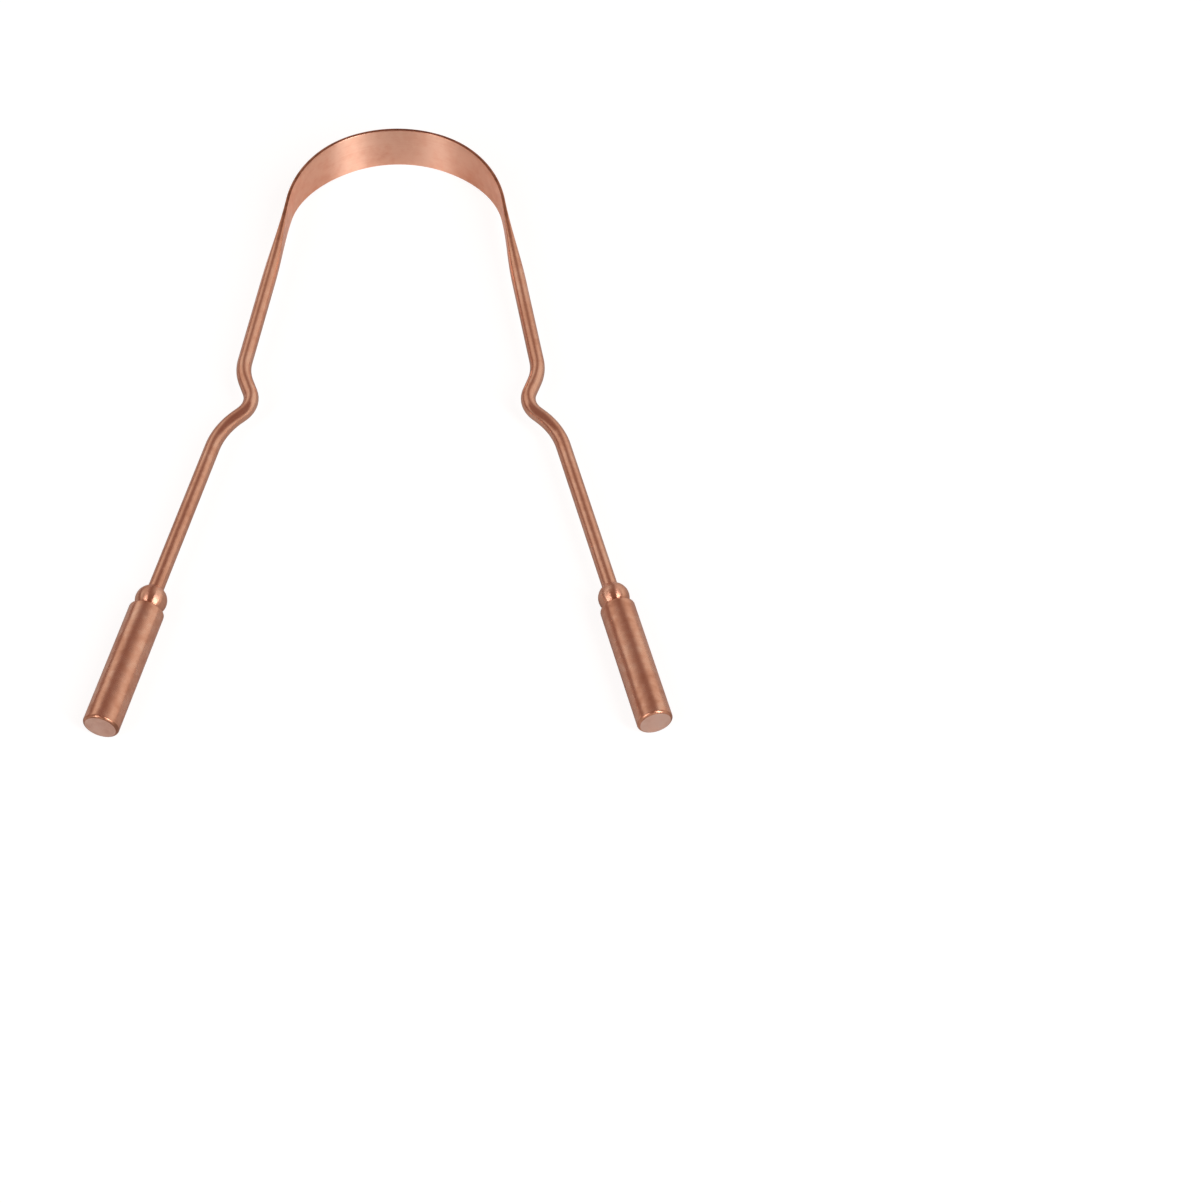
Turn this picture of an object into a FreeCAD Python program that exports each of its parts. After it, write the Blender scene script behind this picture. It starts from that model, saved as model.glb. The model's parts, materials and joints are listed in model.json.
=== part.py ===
import FreeCAD, Part
import math
import os
import Sketcher

# Tongue scraper in copper: a bow bent from one length of round wire, whose middle is rolled flat into the
# scraping band, with a ball collar and a turned handle brazed onto each of its two ends.
# Millimetres. X runs across the arms, Y from the handles to the crown, Z up from the surface it lies on.

DRIVING_SIZES = {
    # Wire of the bow, and the band that is rolled from the middle of it
    "wire_diameter": 2.9,
    "band_width": 9.6,
    "band_thickness": 0.7,
    "edge_rounding": 0.1,
    "face_crown": 0.02,
    # Crown of the bow, measured along the middle of the band
    "crown_radius": 22.4,
    "flat_half_length": 10.0,
    "leg_splay_angle": 8.6,
    "leg_taper_length": 21.0,
    # Round part of each leg, and the bends of its finger stop
    "leg_length": 21.7,
    "upper_bend_radius": 11.4,
    "stop_inward_angle": 19.4,
    "stop_inward_run": 2.8,
    "stop_bend_radius": 5.3,
    "stop_outward_angle": 45.6,
    "stop_outward_run": 1.0,
    "lower_bend_radius": 15.7,
    # Arm from the finger stop to the middle of the ball collar
    "arm_splay_angle": 13.2,
    "arm_length": 37.1,
    # Ball collar
    "ball_diameter": 5.8,
    "ball_seat_ring": 0.4,
    # Handle
    "handle_diameter": 6.5,
    "handle_length": 25.9,
    "handle_shoulder_bevel": 0.5,
    "handle_end_bevel": 0.5,
    "socket_depth": 12.0,
    # Gap all round the wire that the brazing metal fills
    "braze_gap": 0.05,
}

# Sections in each half of the band: along its flat, and along the taper, which starts to thicken partway
FLAT_SECTION_COUNT = 2
TAPER_SECTION_COUNT = 8
THICKENING_START = 0.5
# Where the faces and the edges of a section meet, once it is round
ROUND_CORNER_ANGLE = 45.0
# How closely the bow's volume has to agree with that of its band and its wire
VOLUME_TOLERANCE = 0.001

doc = FreeCAD.newDocument("tongue_scraper")
sheet = doc.addObject("Spreadsheet::Sheet", "Sizes")
for row, (alias, number) in enumerate(DRIVING_SIZES.items(), start=1):
    sheet.set(f"A{row}", alias)
    sheet.set(f"B{row}", str(number))
    sheet.setAlias(f"B{row}", alias)
doc.recompute()


class Size:
    """A dimension kept as its sheet expression, with its present value for a sketch's first drawing."""

    def __init__(self, text, value):
        self.text = text
        self.value = value

    def join(self, sign, other, value):
        return Size(f"({self.text} {sign} {other.text})", value)

    def __add__(self, other):
        other = as_size(other)
        return self.join("+", other, self.value + other.value)

    def __sub__(self, other):
        other = as_size(other)
        return self.join("-", other, self.value - other.value)

    def __mul__(self, other):
        other = as_size(other)
        return self.join("*", other, self.value * other.value)

    def __truediv__(self, other):
        other = as_size(other)
        return self.join("/", other, self.value / other.value)

    def __neg__(self):
        return Size(f"(0 - {self.text})", -self.value)


def as_size(number):
    return number if isinstance(number, Size) else Size(f"({number!r})", number)


def size(alias):
    return Size(f"Sizes.{alias}", sheet.get(alias))


def root(area):
    return Size(f"sqrt({area.text})", math.sqrt(area.value))


def sine(angle):
    return Size(f"sin({angle.text} * 1 deg)", math.sin(math.radians(angle.value)))


def cosine(angle):
    return Size(f"cos({angle.text} * 1 deg)", math.cos(math.radians(angle.value)))


def smaller(first, second):
    return Size(f"min({first.text}; {second.text})", min(first.value, second.value))


def larger(first, second):
    return Size(f"max({first.text}; {second.text})", max(first.value, second.value))


def bind_length(target, name, length):
    target.setExpression(name, f"{length.text} * 1 mm")


def bind_angle(target, name, angle):
    target.setExpression(name, f"{angle.text} * 1 deg")


def origin_plane(body, role):
    return next(feature for feature in body.Origin.OriginFeatures if feature.Role == role)


def new_sketch(body, name, role):
    sketch = body.newObject("Sketcher::SketchObject", name)
    sketch.AttachmentSupport = [(origin_plane(body, role), "")]
    sketch.MapMode = "FlatFace"
    return sketch


def dimension(sketch, name, kind, *picks, length=None, angle=None):
    """Adds one named dimension to a sketch and binds it to the sheet."""
    drawn = length.value if length else math.radians(angle.value)
    index = sketch.addConstraint(Sketcher.Constraint(kind, *picks, drawn))
    sketch.renameConstraint(index, name)
    if length:
        bind_length(sketch, f"Constraints.{name}", length)
    else:
        bind_angle(sketch, f"Constraints.{name}", angle)


def reference(sketch, name, kind, *picks, drawn):
    """Adds one named dimension that only reads a length from a sketch, for other pieces to follow."""
    index = sketch.addConstraint(Sketcher.Constraint(kind, *picks, drawn))
    sketch.setDriving(index, False)
    sketch.renameConstraint(index, name)


def at(x, y):
    return FreeCAD.Vector(x, y, 0)


def start_of(edge):
    return (edge, 1)


def end_of(edge):
    return (edge, 2)


def centre_of(edge):
    return (edge, 3)


# A sketch's own axes and origin, as constraints number them
ACROSS_AXIS = -1
UPRIGHT_AXIS = ACROSS_AXIS - 1
ORIGIN = start_of(ACROSS_AXIS)

# Sizes that several pieces share
wire_radius = size("wire_diameter") / 2
bore_radius = wire_radius + size("braze_gap")
ball_radius = size("ball_diameter") / 2
handle_radius = size("handle_diameter") / 2
seat_radius = bore_radius + size("ball_seat_ring")
ball_above_seat = root(ball_radius * ball_radius - seat_radius * seat_radius)
leg_sine, leg_cosine = sine(size("leg_splay_angle")), cosine(size("leg_splay_angle"))
arm_sine, arm_cosine = sine(size("arm_splay_angle")), cosine(size("arm_splay_angle"))
right_angle = as_size(90.0)
crown_half_angle = right_angle - size("leg_splay_angle")
crown_half_length = size("crown_radius") * crown_half_angle * (math.pi / 180)
bow_half_length = crown_half_length + size("leg_taper_length")


# Bow: crown, legs and arms in one piece
bow = doc.addObject("PartDesign::Body", "scraper_bow")


def place_across_bow(sketch, side, along):
    """Stands a sketch square across the bow, at a distance along it from the middle of the crown."""
    turned = smaller(along / size("crown_radius") * (180 / math.pi), crown_half_angle)
    down_leg = larger(along - crown_half_length, as_size(0.0))
    across = size("crown_radius") * sine(turned) + down_leg * leg_sine
    forward = size("crown_radius") * cosine(turned) - down_leg * leg_cosine
    bind_length(sketch, "AttachmentOffset.Base.x", across * side)
    bind_length(sketch, "AttachmentOffset.Base.z", -forward)
    sketch.AttachmentOffset = FreeCAD.Placement(at(0, 0), FreeCAD.Rotation(FreeCAD.Vector(0, 1, 0), 90))
    bind_angle(sketch, "AttachmentOffset.Rotation.Angle", right_angle - turned * side)


def arc_over(half_chord, rise):
    """Radius of an arc that rises so far over a chord."""
    return (half_chord * half_chord + rise * rise) / (rise * 2)


def smooth_step(share):
    return (1 - math.cos(math.pi * share)) / 2


def rolled_section(name, side, along, taper_share):
    """Section of the bow: two crowned faces and two rounded edges, round where the taper ends."""
    narrowed = smooth_step(taper_share)
    thickened = smooth_step(max(0.0, taper_share - THICKENING_START) / (1 - THICKENING_START))

    def between(rolled, drawn, share):
        return rolled * (1 - share) + drawn * share

    quarter_rise = wire_radius * (1 - math.cos(math.radians(ROUND_CORNER_ANGLE)))
    edge_rise = between(size("edge_rounding"), quarter_rise, thickened)
    face_rise = between(size("face_crown"), quarter_rise, thickened)
    corner_x = between(size("band_thickness") / 2, wire_radius, thickened) - face_rise
    corner_y = between(size("band_width") / 2, wire_radius, narrowed) - edge_rise
    face_radius = arc_over(corner_y, face_rise)
    edge_radius = arc_over(corner_x, edge_rise)

    section = new_sketch(bow, name, "XZ_Plane")
    place_across_bow(section, side, along)
    x, y = corner_x.value, corner_y.value
    corners = [(x, -y), (x, y), (-x, y), (-x, -y)]
    tops = [(x + face_rise.value, 0), (0, y + edge_rise.value)]
    tops += [(-tops[0][0], 0), (0, -tops[1][1])]
    for index, top in enumerate(tops):
        start, end = corners[index], corners[(index + 1) % 4]
        section.addGeometry(Part.Arc(at(*start), at(*top), at(*end)), False)
    for index in range(4):
        section.addConstraint(Sketcher.Constraint("Coincident", *end_of(index), *start_of((index + 1) % 4)))
    section.addConstraint(Sketcher.Constraint("Symmetric", *end_of(0), *end_of(1), UPRIGHT_AXIS))
    section.addConstraint(Sketcher.Constraint("Symmetric", *end_of(0), *end_of(2), *ORIGIN))
    section.addConstraint(Sketcher.Constraint("Symmetric", *end_of(0), *end_of(3), ACROSS_AXIS))
    section.addConstraint(Sketcher.Constraint("Equal", 0, 2))
    section.addConstraint(Sketcher.Constraint("Equal", 1, 3))
    dimension(section, "corner_x", "DistanceX", *ORIGIN, *end_of(0), length=corner_x)
    dimension(section, "corner_y", "DistanceY", *ORIGIN, *end_of(0), length=corner_y)
    dimension(section, "face_radius", "Radius", 0, length=face_radius)
    dimension(section, "edge_radius", "Radius", 1, length=edge_radius)
    return section


# The band and its two tapers are one loft from the left leg, over the crown, to the right leg
half_stations = []
for step in range(1, FLAT_SECTION_COUNT + 1):
    half_stations.append((size("flat_half_length") * (step / FLAT_SECTION_COUNT), 0.0))
for step in range(1, TAPER_SECTION_COUNT + 1):
    share = step / TAPER_SECTION_COUNT
    taper = bow_half_length - size("flat_half_length")
    half_stations.append((size("flat_half_length") + taper * share, share))

sections = [rolled_section("crown_middle", 1, as_size(0.0), 0.0)]
for number, (along, share) in enumerate(half_stations, start=1):
    sections.append(rolled_section(f"right_section_{number}", 1, along, share))
    sections.insert(0, rolled_section(f"left_section_{number}", -1, along, share))
doc.recompute()
band = bow.newObject("PartDesign::AdditiveLoft", "rolled_band")
band.Profile = sections[0]
band.Sections = [(section, [""]) for section in sections[1:]]
doc.recompute()

# Route of the right arm: straight runs, each leaning from the Y axis (outward positive), joined by bends
leg_start_x = size("crown_radius") * leg_cosine + size("leg_taper_length") * leg_sine
leg_start_y = size("crown_radius") * leg_sine - size("leg_taper_length") * leg_cosine
arm_runs = [
    ("leg", size("leg_length"), size("leg_splay_angle")),
    ("inward", size("stop_inward_run"), -size("stop_inward_angle")),
    ("outward", size("stop_outward_run"), size("stop_outward_angle")),
    ("arm", size("arm_length") + ball_above_seat + size("socket_depth"), size("arm_splay_angle")),
]
arm_bends = [
    ("upper_bend", size("upper_bend_radius")),
    ("stop_bend", size("stop_bend_radius")),
    ("lower_bend", size("lower_bend_radius")),
]


def heading(lean):
    return at(math.sin(math.radians(lean)), -math.cos(math.radians(lean)))


def left_of(direction):
    return at(-direction.y, direction.x)


route = new_sketch(bow, "arm_route", "XY_Plane")
point = at(leg_start_x.value, leg_start_y.value)
last_end = None
for number, (name, run, lean) in enumerate(arm_runs):
    run_end = point + heading(lean.value) * run.value
    line = route.addGeometry(Part.LineSegment(point, run_end), False)
    if last_end:
        route.addConstraint(Sketcher.Constraint("Tangent", *last_end, *start_of(line)))
    dimension(route, f"{name}_run", "Distance", line, length=run)
    dimension(route, f"{name}_lean", "Angle", line, angle=lean - right_angle)
    if number == len(arm_bends):
        break
    bend_name, radius = arm_bends[number]
    next_lean = arm_runs[number + 1][2].value
    turn = math.copysign(1, next_lean - lean.value)
    centre = run_end + left_of(heading(lean.value)) * turn * radius.value
    top = centre - left_of(heading((lean.value + next_lean) / 2)) * turn * radius.value
    point = centre - left_of(heading(next_lean)) * turn * radius.value
    arc = route.addGeometry(Part.Arc(run_end, top, point), False)
    first_end, last_end = (start_of(arc), end_of(arc)) if turn > 0 else (end_of(arc), start_of(arc))
    route.addConstraint(Sketcher.Constraint("Tangent", *end_of(line), *first_end))
    dimension(route, f"{bend_name}_radius", "Radius", arc, length=radius)
dimension(route, "leg_start_x", "DistanceX", *ORIGIN, *start_of(0), length=leg_start_x)
dimension(route, "leg_start_y", "DistanceY", *ORIGIN, *start_of(0), length=leg_start_y)
reference(route, "tip_x", "DistanceX", *ORIGIN, *end_of(line), drawn=run_end.x)
reference(route, "tip_y", "DistanceY", *ORIGIN, *end_of(line), drawn=run_end.y)

wire = new_sketch(bow, "wire_section", "XZ_Plane")
place_across_bow(wire, 1, bow_half_length)
wire.addGeometry(Part.Circle(at(0, 0), FreeCAD.Vector(0, 0, 1), wire_radius.value), False)
wire.addConstraint(Sketcher.Constraint("Coincident", *centre_of(0), *ORIGIN))
dimension(wire, "wire_radius", "Radius", 0, length=wire_radius)
doc.recompute()

right_arm = bow.newObject("PartDesign::AdditivePipe", "right_arm")
right_arm.Profile = wire
right_arm.Spine = route
doc.recompute()
left_arm = bow.newObject("PartDesign::Mirrored", "left_arm")
left_arm.Originals = [right_arm]
left_arm.MirrorPlane = (origin_plane(bow, "YZ_Plane"), [""])
bow.Tip = left_arm
doc.recompute()

# Where the parts stand: the box of the whole scraper is centred on the origin, with the band's edge at Z = 0
tip_x = Size("(arm_route.Constraints.tip_x / 1 mm)", route.getDatum("tip_x").Value)
tip_y = Size("(arm_route.Constraints.tip_y / 1 mm)", route.getDatum("tip_y").Value)
seat_x = tip_x - size("socket_depth") * arm_sine
seat_y = tip_y + size("socket_depth") * arm_cosine
end_face_radius = handle_radius - size("handle_end_bevel")
handle_reach = size("handle_length") * arm_cosine + end_face_radius * arm_sine
handle_foot = seat_y - handle_reach
crown_top = size("crown_radius") + size("band_thickness") / 2
bow_shift = -(crown_top + handle_foot) / 2
bow_height = size("band_width") / 2
bind_length(bow, "Placement.Base.y", bow_shift)
bind_length(bow, "Placement.Base.z", bow_height)


def seat_on_arm(body, side):
    """Stands a turned piece on the arm, with its own Y axis pointing up the arm from the ball's seat."""
    bind_length(body, "Placement.Base.x", seat_x * side)
    bind_length(body, "Placement.Base.y", seat_y + bow_shift)
    bind_length(body, "Placement.Base.z", bow_height)
    bind_angle(body, "Placement.Rotation.Angle", size("arm_splay_angle") * side)


def turn_on_lathe(body, profile):
    turned = body.newObject("PartDesign::Revolution", f"{body.Name}_turned")
    turned.Profile = profile
    turned.ReferenceAxis = (profile, ["V_Axis"])
    turned.Angle = 360


def ball_collar(label, side):
    """Drilled ball that the wire runs through, faced flat where it sits on the handle."""
    body = doc.addObject("PartDesign::Body", label)
    profile = new_sketch(body, f"{label}_profile", "XY_Plane")
    bore, seat, ball = bore_radius.value, seat_radius.value, ball_radius.value
    middle = ball_above_seat.value
    top = middle + math.sqrt(ball * ball - bore * bore)
    profile.addGeometry(Part.LineSegment(at(bore, 0), at(seat, 0)), False)
    profile.addGeometry(Part.Arc(at(seat, 0), at(ball, middle), at(bore, top)), False)
    profile.addGeometry(Part.LineSegment(at(bore, top), at(bore, 0)), False)
    for index in range(3):
        profile.addConstraint(Sketcher.Constraint("Coincident", *end_of(index), *start_of((index + 1) % 3)))
    profile.addConstraint(Sketcher.Constraint("Horizontal", 0))
    profile.addConstraint(Sketcher.Constraint("Vertical", 2))
    profile.addConstraint(Sketcher.Constraint("PointOnObject", *start_of(0), ACROSS_AXIS))
    profile.addConstraint(Sketcher.Constraint("PointOnObject", *centre_of(1), UPRIGHT_AXIS))
    dimension(profile, "bore_radius", "DistanceX", *ORIGIN, *start_of(0), length=bore_radius)
    dimension(profile, "seat_radius", "DistanceX", *ORIGIN, *end_of(0), length=seat_radius)
    dimension(profile, "ball_radius", "Radius", 1, length=ball_radius)
    turn_on_lathe(body, profile)
    seat_on_arm(body, side)
    return body


def handle(label, side):
    """Turned grip with a bevelled shoulder and end, drilled blind for the end of the wire."""
    body = doc.addObject("PartDesign::Body", label)
    profile = new_sketch(body, f"{label}_profile", "XY_Plane")
    shoulder, end = size("handle_shoulder_bevel"), size("handle_end_bevel")
    bore, outer = bore_radius.value, handle_radius.value
    foot, floor = -size("handle_length").value, -size("socket_depth").value
    corners = [
        (bore, 0),
        (outer - shoulder.value, 0),
        (outer, -shoulder.value),
        (outer, foot + end.value),
        (outer - end.value, foot),
        (0, foot),
        (0, floor),
        (bore, floor),
    ]
    seat, shoulder_bevel, grip, end_bevel, end_face, axis, socket_floor, socket_wall = range(len(corners))
    for index, corner in enumerate(corners):
        following = corners[(index + 1) % len(corners)]
        profile.addGeometry(Part.LineSegment(at(*corner), at(*following)), False)
    for index in range(len(corners)):
        following = (index + 1) % len(corners)
        profile.addConstraint(Sketcher.Constraint("Coincident", *end_of(index), *start_of(following)))
    for index in (seat, end_face, socket_floor):
        profile.addConstraint(Sketcher.Constraint("Horizontal", index))
    for index in (grip, axis, socket_wall):
        profile.addConstraint(Sketcher.Constraint("Vertical", index))
    profile.addConstraint(Sketcher.Constraint("PointOnObject", *start_of(seat), ACROSS_AXIS))
    profile.addConstraint(Sketcher.Constraint("PointOnObject", *start_of(axis), UPRIGHT_AXIS))
    bevel_start, bevel_end = start_of(shoulder_bevel), end_of(shoulder_bevel)
    dimension(profile, "shoulder_across", "DistanceX", *bevel_start, *bevel_end, length=shoulder)
    dimension(profile, "shoulder_along", "DistanceY", *bevel_end, *bevel_start, length=shoulder)
    bevel_start, bevel_end = start_of(end_bevel), end_of(end_bevel)
    dimension(profile, "end_across", "DistanceX", *bevel_end, *bevel_start, length=end)
    dimension(profile, "end_along", "DistanceY", *bevel_end, *bevel_start, length=end)
    dimension(profile, "bore_radius", "DistanceX", *ORIGIN, *start_of(seat), length=bore_radius)
    dimension(profile, "handle_radius", "DistanceX", *ORIGIN, *start_of(grip), length=handle_radius)
    dimension(profile, "handle_length", "DistanceY", *start_of(axis), *ORIGIN, length=size("handle_length"))
    dimension(profile, "socket_depth", "DistanceY", *end_of(axis), *ORIGIN, length=size("socket_depth"))
    turn_on_lathe(body, profile)
    seat_on_arm(body, side)
    return body


pieces = [bow]
for hand, side in (("left", -1), ("right", 1)):
    pieces.append(ball_collar(f"{hand}_ball_collar", side))
    pieces.append(handle(f"{hand}_handle", side))
doc.recompute()

# Nothing is written unless every feature computed and every piece is one sound solid
for feature in doc.Objects:
    if "Invalid" in feature.State or "Error" in feature.State:
        raise RuntimeError(f"{feature.Name} did not compute: {feature.State}")
for piece in pieces:
    if piece.Shape.isNull() or not piece.Shape.isValid() or len(piece.Shape.Solids) != 1:
        raise RuntimeError(f"{piece.Label} is not one sound solid")
arm_volume = math.pi * wire_radius.value**2 * route.Shape.Length
if not math.isclose(bow.Shape.Volume, band.Shape.Volume + 2 * arm_volume, rel_tol=VOLUME_TOLERANCE):
    raise RuntimeError("scraper_bow has lost part of an arm")

os.makedirs("parts", exist_ok=True)
for piece in pieces:
    piece.Shape.exportStep(os.path.join("parts", f"{piece.Label}.step"))
    print(f"{piece.Label}: {piece.Shape.Volume:.2f} mm3, {piece.Shape.BoundBox}")
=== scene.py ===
import json
import math

import bpy
import numpy as np
from mathutils import Matrix, Vector


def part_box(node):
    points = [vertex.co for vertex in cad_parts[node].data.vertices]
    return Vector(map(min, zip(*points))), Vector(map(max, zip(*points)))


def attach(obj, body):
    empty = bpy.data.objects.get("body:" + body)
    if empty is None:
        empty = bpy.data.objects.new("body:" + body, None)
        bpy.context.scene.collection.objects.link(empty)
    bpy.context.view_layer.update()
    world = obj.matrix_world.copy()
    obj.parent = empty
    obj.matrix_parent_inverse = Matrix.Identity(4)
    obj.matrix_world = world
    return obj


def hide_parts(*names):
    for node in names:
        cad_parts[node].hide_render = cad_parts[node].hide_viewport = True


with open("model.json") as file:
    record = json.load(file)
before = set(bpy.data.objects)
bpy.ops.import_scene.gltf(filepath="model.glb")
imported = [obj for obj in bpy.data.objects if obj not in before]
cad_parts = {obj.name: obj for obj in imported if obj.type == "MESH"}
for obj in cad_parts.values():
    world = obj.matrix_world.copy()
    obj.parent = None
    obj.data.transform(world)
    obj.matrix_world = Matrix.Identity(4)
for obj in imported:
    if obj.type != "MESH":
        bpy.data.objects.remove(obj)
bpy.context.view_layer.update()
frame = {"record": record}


# Bow: one length of hard-drawn copper wire. Its middle is rolled flat into the scraping band and
# thickens back to round wire down the legs. It is bent cold into the arch, the finger stops and
# the splayed arms, whose ends go through the balls and are brazed into the handles.
WIRE_RADIUS = 0.00145
BAND_HALF_THICKNESS = 0.00035
BAND_CORNER = 0.00011
FLAT_HALF_LENGTH = 0.010
TAPER_HALF_LENGTH = 0.0528
THICKENING_START = 0.5
HEATED_LENGTH = 0.017
HEAT_FADE = 0.006
SECTION_POINTS = 48
RING_SPACING = 0.0006
SHARP_EDGE = math.radians(40)

bow_low, bow_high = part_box("scraper_bow")
band_half_width = (bow_high.z - bow_low.z) / 2
wire_height = (bow_high.z + bow_low.z) / 2
crown_middle = Vector((0, bow_high.y - BAND_HALF_THICKNESS))


def straight(length):
    """A straight run of wire: its length and its turn."""
    return length, 0.0


def bend(radius, degrees):
    """A run of wire round part of a circle: its length and its turn, positive to the left."""
    return radius * math.radians(abs(degrees)), math.radians(degrees)


# Right half of the bow, from the middle of the crown to the wire's end in the handle.
half_arch = bend(0.0224, -81.4)
leg = straight(0.0427)
stop_top = bend(0.0114, -28.0)
stop_slope = straight(0.0028)
stop_nose = bend(0.0053, 65.0)
stop_foot = straight(0.0010)
arm_bend = bend(0.0157, -32.4)
arm = straight(0.05125)
half_route = (half_arch, leg, stop_top, stop_slope, stop_nose, stop_foot, arm_bend, arm)


def walk_wire(start, route):
    """Places along the wire's centre line: x, y, heading and length gone so far."""
    place, heading, gone = start.copy(), 0.0, 0.0
    places = [(place.x, place.y, heading, gone)]
    for length, turn in route:
        steps = max(1, round(length / RING_SPACING))
        part = turn / steps
        chord = length / steps
        if turn:
            chord *= math.sin(part / 2) / (part / 2)
        for _ in range(steps):
            heading += part / 2
            place += chord * Vector((math.cos(heading), math.sin(heading)))
            heading += part / 2
            gone += length / steps
            places.append((place.x, place.y, heading, gone))
    return places


def rolled_section(half_thickness, half_width, corner):
    """Points round a bar with round corners, spaced half by length and half by turn: how far
    across and up each is, and its share of facing up or down."""
    x = (half_thickness - corner) * np.array((1, 1, 1, -1, -1, -1, -1, 1, 1, 1))
    y = (half_width - corner) * np.array((0, 1, 1, 1, 1, -1, -1, -1, -1, 0))
    turned = np.radians((0, 0, 90, 90, 180, 180, 270, 270, 360, 360))
    length = np.abs(np.diff(x)) + np.abs(np.diff(y)) + corner * np.diff(turned)
    share = length / length.sum() + np.diff(turned) / turned[-1]
    reached = np.concatenate(([0.0], np.cumsum(share))) / 2
    wanted = np.arange(SECTION_POINTS) / SECTION_POINTS
    facing = np.interp(wanted, reached, turned)
    across = np.interp(wanted, reached, x) + corner * np.cos(facing)
    upward = np.interp(wanted, reached, y) + corner * np.sin(facing)
    return across, upward, np.sin(facing) ** 2


def eased(share):
    """A share from 0 to 1, slow at both ends."""
    share = min(max(share, 0.0), 1.0)
    return (1 - math.cos(math.pi * share)) / 2


def part_way(start, end, share):
    return start + (end - start) * share


def wire_section(gone):
    """The cross-section this far from the middle of the crown: flat band, then taper, then wire.
    With each point come its shares of band edges, which are darkened as painted shade, and of
    rolled face."""
    share = (gone - FLAT_HALF_LENGTH) / (TAPER_HALF_LENGTH - FLAT_HALF_LENGTH)
    narrowed = eased(share)
    thickened = eased((share - THICKENING_START) / (1 - THICKENING_START))
    across, upward, edgewise = rolled_section(
        part_way(BAND_HALF_THICKNESS, WIRE_RADIUS, thickened),
        part_way(band_half_width, WIRE_RADIUS, narrowed),
        part_way(BAND_CORNER, WIRE_RADIUS, thickened),
    )
    return across, upward, edgewise * (1 - thickened), (1 - edgewise) * (1 - narrowed)


def skin_rings(name, rings, stock, wear_and_shade, closed, marks):
    """A mesh over rings of points, outward in ring order. stock is each point's place on the
    straight stock, with the marks of making along its third part. The named shares, one per
    point, are heat tint, rolled face and painted shade on edges. marks says whether those marks
    run "along" the piece or "around" it, and the UV map's u goes across them."""
    rows, count = rings.shape[:2]
    faces = []
    for row in range(rows if closed else rows - 1):
        here, ahead = row * count, (row + 1) % rows * count
        for point in range(count):
            after = (point + 1) % count
            faces.append((here + point, here + after, ahead + after, ahead + point))
    if not closed:
        faces.append(tuple(reversed(range(count))))
        faces.append(tuple(range((rows - 1) * count, rows * count)))
    mesh = bpy.data.meshes.new(name)
    mesh.from_pydata(rings.reshape(-1, 3).tolist(), [], faces)
    mesh.shade_smooth()
    mesh.set_sharp_from_angle(angle=SHARP_EDGE)
    stock_place = mesh.attributes.new("stock", "FLOAT_VECTOR", "POINT")
    stock_place.data.foreach_set("vector", np.asarray(stock, np.float32).ravel())
    for share_name, shares in wear_and_shade.items():
        share = mesh.attributes.new(share_name, "FLOAT", "POINT")
        share.data.foreach_set("value", np.asarray(shares, np.float32).ravel())
    across_marks = mesh.uv_layers.new(name="across_marks")
    for face in mesh.polygons:
        last_row = max(mesh.loops[i].vertex_index // count for i in face.loop_indices)
        last_point = max(mesh.loops[i].vertex_index % count for i in face.loop_indices)
        for i in face.loop_indices:
            row, point = divmod(mesh.loops[i].vertex_index, count)
            if last_point - point > 1:
                point += count
            if last_row - row > 1:
                row += rows
            around, along = point / count, row / rows
            across_marks.data[i].uv = (around, along) if marks == "along" else (along, around)
    piece = bpy.data.objects.new(name, mesh)
    bpy.context.scene.collection.objects.link(piece)
    return piece


right_half = walk_wire(crown_middle, half_route)
left_half = [(-x, y, -heading, -gone) for x, y, heading, gone in right_half[:0:-1]]
half_length = right_half[-1][3]
heat_start = half_length - HEATED_LENGTH
bow_rings, bow_stock = [], []
bow_wear_and_shade = {"edge": [], "rolled": [], "heated": []}
for x, y, heading, gone in left_half + right_half:
    across, upward, edge, rolled = wire_section(abs(gone))
    outward = np.array((-math.sin(heading), math.cos(heading), 0.0))
    middle = np.array((x, y, wire_height))
    bow_rings.append(middle + np.outer(across, outward) + np.outer(upward, (0, 0, 1)))
    bow_stock.append(np.column_stack((across, upward, np.full(SECTION_POINTS, gone))))
    heated = eased(1 - (heat_start - abs(gone)) / HEAT_FADE)
    # The band-edge share carries painted shade.
    bow_wear_and_shade["edge"].append(edge)
    bow_wear_and_shade["rolled"].append(rolled)
    bow_wear_and_shade["heated"].append(np.full(SECTION_POINTS, heated))
bow = skin_rings("bow", np.array(bow_rings), bow_stock, bow_wear_and_shade, closed=False, marks="along")


def add_node(tree, kind, **settings):
    """A shader node with its named inputs and properties set; a linked input takes a socket, and
    an input that shares its name with others goes by its number."""
    node = tree.nodes.new("ShaderNode" + kind)
    for name, value in settings.items():
        if name in node.bl_rna.properties:
            setattr(node, name, value)
    for name, value in settings.items():
        if name in node.bl_rna.properties:
            continue
        socket = node.inputs[int(name[1:]) if name[0] == "_" else name.replace("_", " ")]
        if isinstance(value, bpy.types.NodeSocket):
            tree.links.new(value, socket)
        else:
            socket.default_value = value
    return node


def weigh(tree, value, weight, rest):
    """value times weight, added to rest."""
    return add_node(
        tree, "Math", operation="MULTIPLY_ADD", _0=value, _1=weight, _2=rest
    ).outputs["Value"]


def colour_steps(tree, share, steps):
    """A colour ramp over share; steps are (place, colour)."""
    ramp = add_node(tree, "ValToRGB", Fac=share)
    stops = ramp.color_ramp.elements
    while len(stops) < len(steps):
        stops.new(1.0)
    for stop, (place, colour) in zip(stops, steps):
        stop.position = place
        stop.color = (*colour, 1.0)
    return ramp.outputs["Color"]
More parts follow.
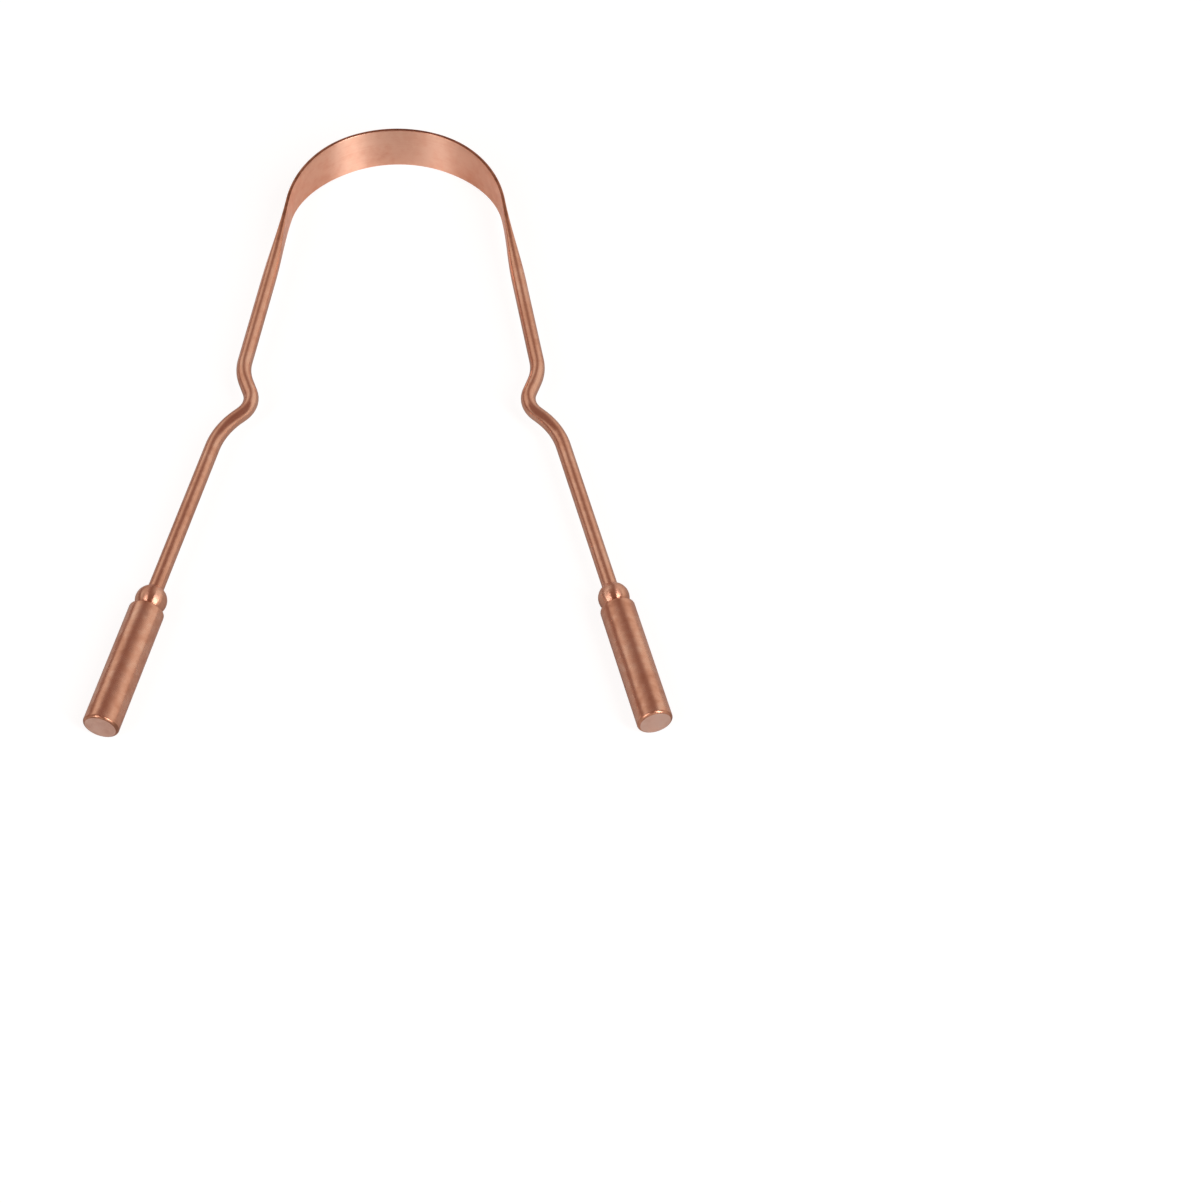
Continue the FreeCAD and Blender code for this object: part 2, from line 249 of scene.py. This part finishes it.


# What the tone of the copper is made up of, from 0, tarnished, to 1, rubbed bright. The band's
# top and bottom edges and the handles' far rims are darkened in tone as painted shade. Scales
# are patches per metre.
TARNISH_SCALE = 110
TARNISH_DETAIL = 4
TARNISH_WEIGHT = 0.65
SPOT_SCALE = 560
SPOT_DETAIL = 3
LINE_DETAIL = 4
LINE_WEIGHT = 0.35
HEAT_WEIGHT = -0.10
# Painted shade: the tone is darkened on the band's edges and on the handles' far rims.
PAINTED_EDGE_SHADE_WEIGHT = -0.28
ROLLED_WEIGHT = 0.26
DULL_TONE = 0.3
RUBBED_TONE = 0.7
WAVE_SCALE = 210
WAVE_DETAIL = 2
PATCH_CRISPNESS = 0.6


def copper_finish(
    name, tones, mottled, grain, roughness, rolled_roughness, brushed, line_depth, wave_depth
):
    """Bare copper. tones run from tarnished to rubbed, mottled is how much small spots differ in
    tone, grain is how finely the marks of making vary across and along, roughness is for rubbed
    and for dull metal, rolled_roughness is added on rolled metal, and brushed says how much more
    the marks scatter light across them than along them."""
    material = bpy.data.materials.new(name)
    material.use_nodes = True
    tree = material.node_tree
    tree.nodes.clear()

    def share(attribute):
        return add_node(tree, "Attribute", attribute_name=attribute).outputs["Fac"]

    def noise(place, detail, scale=1.0):
        return add_node(
            tree, "TexNoise", Vector=place, Scale=scale, Detail=detail, Roughness=PATCH_CRISPNESS
        ).outputs["Fac"]

    stock = add_node(tree, "Attribute", attribute_name="stock").outputs["Vector"]
    lined = add_node(tree, "Mapping", Vector=stock, Scale=grain).outputs["Vector"]
    lines = noise(lined, LINE_DETAIL)
    place = add_node(tree, "TexCoord").outputs["Object"]
    spots = noise(place, SPOT_DETAIL, SPOT_SCALE)
    tarnish = noise(place, TARNISH_DETAIL, TARNISH_SCALE)
    tone = weigh(tree, spots, mottled, -mottled / 2)
    tone = weigh(tree, lines, LINE_WEIGHT, tone)
    tone = weigh(tree, tarnish, TARNISH_WEIGHT, tone)
    tone = weigh(tree, share("heated"), HEAT_WEIGHT, tone)
    # Painted shade darkens the tone on the band edges and the handles' far rims.
    tone = weigh(tree, share("edge"), PAINTED_EDGE_SHADE_WEIGHT, tone)
    tone = weigh(tree, share("rolled"), ROLLED_WEIGHT, tone)
    colour = colour_steps(tree, tone, tones)
    rubbed_roughness, dull_roughness = roughness
    rough = add_node(
        tree, "MapRange", Value=tone, From_Min=DULL_TONE, From_Max=RUBBED_TONE,
        To_Min=dull_roughness, To_Max=rubbed_roughness,
    ).outputs["Result"]
    rough = weigh(tree, share("rolled"), rolled_roughness, rough)
    hollows = noise(place, WAVE_DETAIL, WAVE_SCALE)
    waves = add_node(
        tree, "Bump", Height=hollows, Strength=1.0, Distance=wave_depth
    ).outputs["Normal"]
    raised = add_node(
        tree, "Bump", Height=lines, Strength=1.0, Distance=line_depth, Normal=waves
    ).outputs["Normal"]
    across = add_node(
        tree, "Tangent", direction_type="UV_MAP", uv_map="across_marks"
    ).outputs["Tangent"]
    surface = add_node(
        tree, "BsdfPrincipled", Base_Color=colour, Metallic=1.0, Roughness=rough, Normal=raised,
        Anisotropic=brushed, Tangent=across,
    ).outputs["BSDF"]
    add_node(tree, "OutputMaterial", Surface=surface)
    return material


COPPER_TONES = (
    (0.10, (0.42, 0.19, 0.12)),
    (0.30, (0.74, 0.36, 0.235)),
    (0.50, (0.86, 0.465, 0.325)),
    (0.80, (0.95, 0.61, 0.465)),
)
drawn_copper = copper_finish(
    "drawn_copper", COPPER_TONES, mottled=0.5, grain=(5000, 5000, 40), roughness=(0.16, 0.24),
    rolled_roughness=0.34, brushed=0.9, line_depth=0.00001, wave_depth=0.00007,
)
bow.data.materials.append(drawn_copper)
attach(bow, "root")
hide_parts("scraper_bow")


# Ball collars: two solid copper balls, turned and polished, threaded on the arms and brazed where
# each sits on its handle. The braze runs up round the wire in a small smooth fillet.
BALL_SEAT_RADIUS = 0.0019
BRAZE_FILLET = 0.0003
BRAZE_GAP = 0.00003
BALL_HEAT_FADE = 0.0008
BALL_STEPS = 40
FILLET_STEPS = 6
LATHE_POINTS = 72

bore = WIRE_RADIUS + BRAZE_GAP


def arc(middle_radius, middle_along, radius, start, end, steps):
    """Profile points round part of a circle; angles in degrees from straight outward."""
    angles = np.radians(np.linspace(start, end, steps + 1))
    return np.column_stack(
        (middle_radius + radius * np.cos(angles), middle_along + radius * np.sin(angles))
    )


def turn_on_lathe(name, profile, start, axis, wear_and_shade, closed):
    """A turned piece: profile is (radius, distance from start along axis), and the named shares,
    one per profile point, are heat tint and painted shade on edges."""
    angles = np.arange(LATHE_POINTS) / LATHE_POINTS * 2 * math.pi
    rings, stock = [], []
    for radius, along in profile:
        rings.append(np.column_stack(
            (radius * np.cos(angles), radius * np.sin(angles), np.full(LATHE_POINTS, along))
        ))
        stock.append(np.column_stack(
            (np.full(LATHE_POINTS, radius), np.full(LATHE_POINTS, along), radius * angles)
        ))
    tilt = np.array(Vector((0, 0, 1)).rotation_difference(axis).to_matrix())
    placed = np.array(rings) @ tilt.T + np.array(start)
    around = {key: np.repeat(shares, LATHE_POINTS) for key, shares in wear_and_shade.items()}
    return skin_rings(name, placed, stock, around, closed, marks="around")


grips = {
    mount["name"].split("_")[0]: mount
    for mount in frame["record"]["mounts"]
    if mount["name"].endswith("handle_grip")
}
polished_copper = copper_finish(
    "polished_copper", COPPER_TONES, mottled=0.6, grain=(9000, 9000, 0), roughness=(0.26, 0.32),
    rolled_roughness=0.0, brushed=1.0, line_depth=0.000003, wave_depth=0.00002,
)
for side, grip in grips.items():
    axis = Vector(grip["axis"]).normalized()
    ball_low, ball_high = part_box(side + "_ball_collar")
    ball_radius = (ball_high.x - ball_low.x) / 2
    ball_x = (ball_high.x + ball_low.x) / 2
    grip_middle = Vector(grip["pos_m"])
    ball_middle = grip_middle + axis * ((ball_x - grip_middle.x) / axis.x)
    seat_along = math.sqrt(ball_radius ** 2 - BALL_SEAT_RADIUS ** 2)
    fillet_out = bore + BRAZE_FILLET
    fillet_along = -math.sqrt((ball_radius + BRAZE_FILLET) ** 2 - fillet_out ** 2)
    towards_ball = math.degrees(math.atan2(-fillet_along, -fillet_out))
    ball_start = math.degrees(math.atan2(fillet_along, fillet_out))
    ball_end = math.degrees(math.atan2(seat_along, BALL_SEAT_RADIUS))
    profile = np.concatenate(
        (
            arc(fillet_out, fillet_along, BRAZE_FILLET, 180, towards_ball, FILLET_STEPS)[:-1],
            arc(0, 0, ball_radius, ball_start, ball_end, BALL_STEPS),
            [(bore, seat_along)],
        )
    )
    from_joint = np.minimum(profile[:, 1] - fillet_along, seat_along - profile[:, 1])
    heated = np.clip(1 - from_joint / BALL_HEAT_FADE, 0, 1)
    ball = turn_on_lathe(
        side + "_ball", profile, ball_middle, axis, {"heated": heated}, closed=True
    )
    ball.data.materials.append(polished_copper)
    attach(ball, "root")
    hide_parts(side + "_ball_collar")


# Handles: two solid copper cylinders, turned on the lathe, with rounded edges and ends faced flat.
# The end of the wire is brazed into a blind hole in the top of each.
MM_PER_METRE = 1000
GRIP_BEVEL = 0.0005
EDGE_RADIUS = 0.00055
EDGE_STEPS = 8
EDGE_MARGIN = 0.00008
SOCKET_DEPTH = 0.012
END_RING_SHARE = 0.5
SQUARE_ON = 0.98

turned_copper = copper_finish(
    "turned_copper", COPPER_TONES, mottled=0.8, grain=(8000, 8000, 0), roughness=(0.24, 0.32),
    rolled_roughness=0.0, brushed=0.5, line_depth=0.000006, wave_depth=0.00013,
)
FACED_TONES = (
    (0.30, (0.80, 0.51, 0.41)),
    (0.50, (0.92, 0.64, 0.53)),
    (0.80, (0.96, 0.74, 0.65)),
)
faced_copper = copper_finish(
    "faced_copper", FACED_TONES, mottled=0.5, grain=(8000, 8000, 0), roughness=(0.42, 0.52),
    rolled_roughness=0.0, brushed=0.2, line_depth=0.00001, wave_depth=0.00004,
)
for side, grip in grips.items():
    axis = Vector(grip["axis"]).normalized()
    radius = grip["dims"]["r_mm"] / MM_PER_METRE
    length = grip["dims"]["length_mm"] / MM_PER_METRE + 2 * GRIP_BEVEL
    top = Vector(grip["pos_m"]) - axis * length / 2
    flat = radius - EDGE_RADIUS
    side_start = EDGE_RADIUS + EDGE_MARGIN
    side_end = length - EDGE_RADIUS - EDGE_MARGIN
    profile = np.concatenate(
        (
            [(bore, SOCKET_DEPTH), (bore, 0), (flat - EDGE_MARGIN, 0)],
            arc(flat, EDGE_RADIUS, EDGE_RADIUS, -90, 0, EDGE_STEPS),
            [(radius, side_start), (radius, side_end)],
            arc(flat, length - EDGE_RADIUS, EDGE_RADIUS, 0, 90, EDGE_STEPS),
            [(flat - EDGE_MARGIN, length), (flat * END_RING_SHARE, length)],
        )
    )
    at_far_end = profile[:, 1] > length / 2
    # The rounding of the far rim gets painted shade, a darker tone in its colour.
    on_edge = (profile[:, 0] > flat) & (profile[:, 0] < radius) & at_far_end
    heated = np.clip(1 - profile[:, 1] / EDGE_RADIUS, 0, 1)
    handle = turn_on_lathe(
        side + "_handle_grip", profile, top, axis, {"edge": on_edge, "heated": heated},
        closed=False,
    )
    handle.data.materials.append(turned_copper)
    handle.data.materials.append(faced_copper)
    faced_slot = handle.data.materials.find("faced_copper")
    for face in handle.data.polygons:
        if face.normal.dot(axis) > SQUARE_ON:
            face.material_index = faced_slot
    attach(handle, "root")
    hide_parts(side + "_handle")


# Floor: a white table, plain white to the camera. The scraper lies on the lower edge of its band
# and on the undersides of its handles, so the table slopes up a little towards the handles. In the
# metal, the table carries painted light: paler at the band, with painted shade towards the
# handles.
FLOOR_HALF_SIZE = 6.0
FLOOR_CORNERS = ((-1, -1), (1, -1), (1, 1), (-1, 1))
FLOOR_GAP = 0.00002
FLOOR_GLOW = 0.86
MIRRORED_SHARE = 0.06
SEEN_WHITENESS = 0.26
# Painted shade and painted light: the table's whiteness in the metal near the handles and near the
# band.
PAINTED_SHADE_WHITENESS = 0.52
PAINTED_LIGHT_WHITENESS = 0.83
PALER_FROM = 0.030
PALEST_FROM = 0.055
PLAIN_WHITE = (1, 1, 1, 1)

handle_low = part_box("left_handle")[0]
slope = math.atan2(handle_low.z - bow_low.z, handle_low.y - bow_high.y)
floor_mesh = bpy.data.meshes.new("floor")
floor_mesh.from_pydata(
    [(x * FLOOR_HALF_SIZE, y * FLOOR_HALF_SIZE, 0) for x, y in FLOOR_CORNERS], [], [(0, 1, 2, 3)]
)
floor = bpy.data.objects.new("floor", floor_mesh)
bpy.context.scene.collection.objects.link(floor)
floor.matrix_world = (
    Matrix.Translation((0, bow_high.y, bow_low.z - FLOOR_GAP)) @ Matrix.Rotation(slope, 4, "X")
)


def times(tree, one, other):
    return add_node(tree, "Math", operation="MULTIPLY", _0=one, _1=other).outputs["Value"]


def white_seen(tree, ray):
    """How much of a white background a ray shows: the camera all, metal and glass a little."""
    mirrored = add_node(
        tree, "Math", operation="ADD", _0=ray["Is Glossy Ray"], _1=ray["Is Transmission Ray"]
    ).outputs["Value"]
    return weigh(tree, mirrored, MIRRORED_SHARE, ray["Is Camera Ray"])


table_white = bpy.data.materials.new("table_white")
table_white.use_nodes = True
tree = table_white.node_tree
tree.nodes.clear()
ray = add_node(tree, "LightPath").outputs
glowing = times(tree, white_seen(tree, ray), FLOOR_GLOW)
glow = add_node(tree, "Emission", Color=PLAIN_WHITE, Strength=glowing)
place = add_node(tree, "NewGeometry").outputs["Position"]
towards_band = add_node(tree, "SeparateXYZ", Vector=place).outputs["Y"]
# Painted light on the table, seen only in the metal: paler by the band, painted shade towards the
# handles.
painted_light_white = add_node(
    tree, "MapRange", Value=towards_band, From_Min=PALER_FROM, From_Max=PALEST_FROM,
    To_Min=PAINTED_SHADE_WHITENESS, To_Max=PAINTED_LIGHT_WHITENESS,
).outputs["Result"]
whiteness = add_node(
    tree, "MapRange", Value=ray["Is Camera Ray"], To_Min=painted_light_white, To_Max=SEEN_WHITENESS
).outputs["Result"]
matt = add_node(tree, "BsdfDiffuse", Color=whiteness)
both = add_node(tree, "AddShader", _0=matt.outputs["BSDF"], _1=glow.outputs["Emission"])
add_node(tree, "OutputMaterial", Surface=both.outputs["Shader"])
floor_mesh.materials.append(table_white)


# Camera: at the photograph's angle, from the handle side and above, rolled a little. It aims at
# the right ball, so the scraper stands at the upper left of the picture.
LENS = 69.087
SENSOR_WIDTH = 36.0
VIEW_DEPTH = 100.0
CAMERA_DISTANCE = 0.420
CAMERA_ELEVATION = 53.505
CAMERA_AZIMUTH = -3.997
CAMERA_ROLL = 2.878
AIM_X = 0.03958
AIM_Y = -0.04670


def turn_towards(azimuth, elevation):
    """The turn of a camera or lamp that looks from this side and height, in degrees."""
    return (
        Matrix.Rotation(math.radians(azimuth), 4, "Z")
        @ Matrix.Rotation(math.radians(90 - elevation), 4, "X")
    )


camera_data = bpy.data.cameras.new("camera")
camera_data.lens = LENS
camera_data.sensor_width = SENSOR_WIDTH
camera_data.clip_end = VIEW_DEPTH
camera = bpy.data.objects.new("camera", camera_data)
bpy.context.scene.collection.objects.link(camera)
camera.matrix_world = (
    Matrix.Translation((AIM_X, AIM_Y, wire_height))
    @ turn_towards(CAMERA_AZIMUTH, CAMERA_ELEVATION)
    @ Matrix.Translation((0, 0, CAMERA_DISTANCE))
    @ Matrix.Rotation(math.radians(CAMERA_ROLL), 4, "Z")
)
bpy.context.scene.camera = camera


# Light: two tall soft lamps in front, the right one stronger, and a pale tent with lit side walls
# and a lit lower front. Its top and the middle of its back are open to a dim warm room. The
# camera sees plain white in place of the tent.
LAMP_DISTANCE = 1.2
LAMP_WIDTH = 0.32
LAMP_HEIGHT = 0.9
LAMP_AZIMUTH = 47.0
LAMP_ELEVATION = 38.0
LEFT_LAMP_POWER = 3.7
RIGHT_LAMP_POWER = 6.5
WALL_COLOUR = (0.725, 0.66, 0.595)
ROOM_COLOUR = (0.215, 0.108, 0.082)

lamps = (("left", -LAMP_AZIMUTH, LEFT_LAMP_POWER), ("right", LAMP_AZIMUTH, RIGHT_LAMP_POWER))
for side, azimuth, power in lamps:
    lamp_data = bpy.data.lights.new(side + "_lamp", "AREA")
    lamp_data.shape = "RECTANGLE"
    lamp_data.size = LAMP_WIDTH
    lamp_data.size_y = LAMP_HEIGHT
    lamp_data.energy = power
    lamp = bpy.data.objects.new(side + "_lamp", lamp_data)
    bpy.context.scene.collection.objects.link(lamp)
    lamp.matrix_world = (
        turn_towards(azimuth, LAMP_ELEVATION) @ Matrix.Translation((0, 0, LAMP_DISTANCE))
    )

# Where the lit parts of the tent fade in, as parts of a direction: X right, Y back and Z up. A
# tilt makes a wall's lower or upper edge slope.
WALL_SIDE = (0.0, 0.50)
WALL_FOOT = (0.10, 0.28)
WALL_FOOT_TILT = 0.2
WALL_HEAD = (0.61, 0.45)
WALL_HEAD_TILT = -0.45
FRONT_SIDE = (-0.15, -0.60)
FRONT_HEAD = (0.70, 0.35)
FRONT_SHARE = 0.8


def fade_in(tree, value, reach):
    """0 before reach starts and 1 after it ends, softly between."""
    return add_node(
        tree, "MapRange", interpolation_type="SMOOTHSTEP", Value=value,
        From_Min=reach[0], From_Max=reach[1], To_Min=0.0, To_Max=1.0,
    ).outputs["Result"]


world = bpy.data.worlds.new("light_tent")
world.use_nodes = True
tree = world.node_tree
tree.nodes.clear()
direction = add_node(tree, "TexCoord").outputs["Generated"]
along = add_node(tree, "SeparateXYZ", Vector=direction).outputs
sideways = add_node(tree, "Math", operation="ABSOLUTE", _0=along["X"]).outputs["Value"]
wall_side = fade_in(tree, sideways, WALL_SIDE)
wall_foot = fade_in(tree, weigh(tree, along["X"], WALL_FOOT_TILT, along["Z"]), WALL_FOOT)
wall_head = fade_in(tree, weigh(tree, along["Y"], WALL_HEAD_TILT, along["Z"]), WALL_HEAD)
lit_wall = times(tree, wall_side, times(tree, wall_foot, wall_head))
front_side = fade_in(tree, along["Y"], FRONT_SIDE)
front_head = fade_in(tree, along["Z"], FRONT_HEAD)
lit = weigh(tree, times(tree, front_side, front_head), FRONT_SHARE, lit_wall)
colour = colour_steps(tree, lit, ((0.0, ROOM_COLOUR), (1.0, WALL_COLOUR)))
tent = add_node(tree, "Background", Color=colour, Strength=1.0)
plain = add_node(tree, "Background", Color=PLAIN_WHITE, Strength=1.0)
seen = white_seen(tree, add_node(tree, "LightPath").outputs)
both = add_node(
    tree, "MixShader", Fac=seen, _1=tent.outputs["Background"], _2=plain.outputs["Background"]
)
add_node(tree, "OutputWorld", Surface=both.outputs["Shader"])
bpy.context.scene.world = world

bpy.context.scene.view_settings.view_transform = "Standard"
